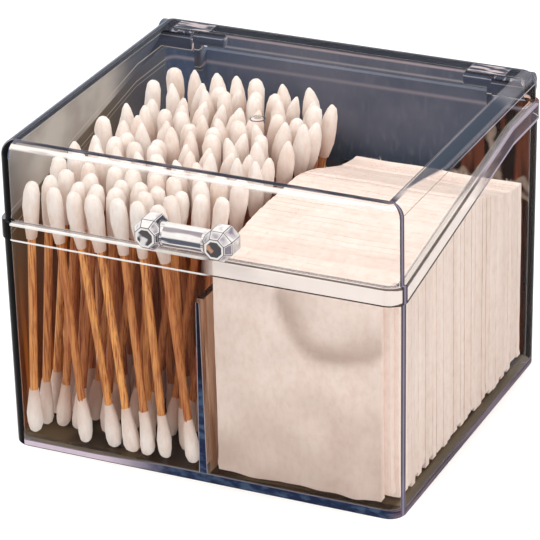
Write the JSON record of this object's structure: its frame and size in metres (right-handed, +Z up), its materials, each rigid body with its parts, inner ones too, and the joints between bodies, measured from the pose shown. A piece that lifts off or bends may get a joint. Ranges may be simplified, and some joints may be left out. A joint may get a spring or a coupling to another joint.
{
  "type": "cotton swab holder",
  "caption": "Clear moulded box with a hinged lid and faceted handle, divided in two, holding upright cotton swabs beside a stack of cotton pads.",
  "frame": {"origin": "centre of the base's flat underside", "axes": "+X to the right seen from the front, -Y towards the front with the handle, +Z up"},
  "size_m": [0.116, 0.111, 0.0894],
  "materials": {
    "clear_plastic": "clear polished moulding",
    "clear_handle": "clear faceted moulding",
    "swab_wood": "bare birch stick",
    "cotton_tip": "wound cotton",
    "cotton_pad": "soft pressed cotton"
  },
  "bodies": {
    "base": {"base_tray": "clear_plastic", "cotton_pads_1": "cotton_pad", "cotton_pads_2": "cotton_pad", "cotton_pads_3": "cotton_pad", "cotton_pads_4": "cotton_pad", "cotton_pads_5": "cotton_pad", "cotton_pads_6": "cotton_pad", "cotton_pads_7": "cotton_pad", "cotton_pads_8": "cotton_pad", "swab_sticks_1": "swab_wood", "swab_sticks_2": "swab_wood", "swab_sticks_3": "swab_wood", "swab_sticks_4": "swab_wood", "swab_sticks_5": "swab_wood", "swab_sticks_6": "swab_wood", "swab_sticks_7": "swab_wood", "swab_sticks_8": "swab_wood", "swab_tips_1": "cotton_tip", "swab_tips_2": "cotton_tip", "swab_tips_3": "cotton_tip", "swab_tips_4": "cotton_tip", "swab_tips_5": "cotton_tip", "swab_tips_6": "cotton_tip", "swab_tips_7": "cotton_tip", "swab_tips_8": "cotton_tip"},
    "lid": {"lid": "clear_plastic", "handle": "clear_handle"}
  },
  "joints": [
    {"name": "lid_hinge", "type": "hinge", "parent": "base", "child": "lid", "pos_m": [0, 0.0467, 0.085], "axis": [-1, 0, 0], "range_deg": [0, 105]}
  ]
}
